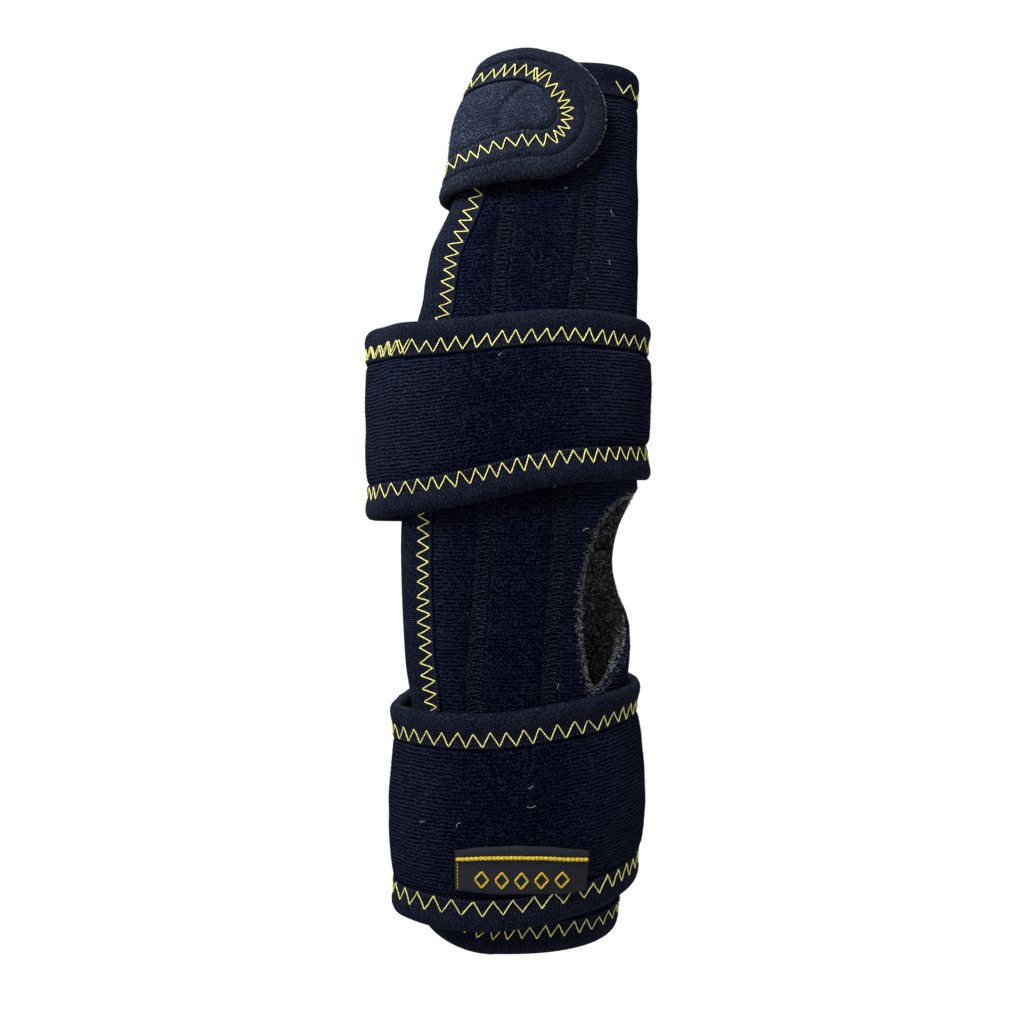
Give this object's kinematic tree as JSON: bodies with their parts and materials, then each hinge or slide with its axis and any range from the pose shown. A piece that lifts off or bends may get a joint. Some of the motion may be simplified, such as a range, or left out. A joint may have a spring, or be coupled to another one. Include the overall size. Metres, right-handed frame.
{
  "type": "boxer fracture splint",
  "caption": "Black soft splint worn on a right hand: a padded wrap round two fingers, palm and wrist with a thumb hole and straps.",
  "frame": {"origin": "middle of the wrist hollow, halfway up the wrist strap, where the wrist sits", "axes": "+Z towards the fingertips, -Y out of the palm side, +X towards the thumb side"},
  "size_m": [0.092, 0.0638, 0.2728],
  "materials": {
    "knit_cloth": "brushed looped knit over foam, with fine ribs and light fuzz",
    "plush_cloth": "longer brushed pile over foam",
    "smooth_tape": "smooth elastic tape with a soft sheen, stitched with yellow zigzag thread",
    "grey_fleece": "short grey fleece, raw-cut at the thumb hole",
    "hook": "fine moulded hooks",
    "woven_label": "fine satin weave with a gold stripe and no lettering"
  },
  "bodies": {
    "root": {"splint_body": "knit_cloth", "fleece_lining": "grey_fleece", "body_binding": "smooth_tape", "finger_strap": "plush_cloth", "finger_strap_binding": "smooth_tape", "finger_hook_tab": "hook", "palm_strap": "knit_cloth", "palm_strap_binding": "smooth_tape", "palm_hook_tab": "hook", "wrist_strap": "knit_cloth", "wrist_strap_binding": "smooth_tape", "wrist_hook_tab": "hook", "woven_label": "woven_label"}
  },
  "joints": []
}
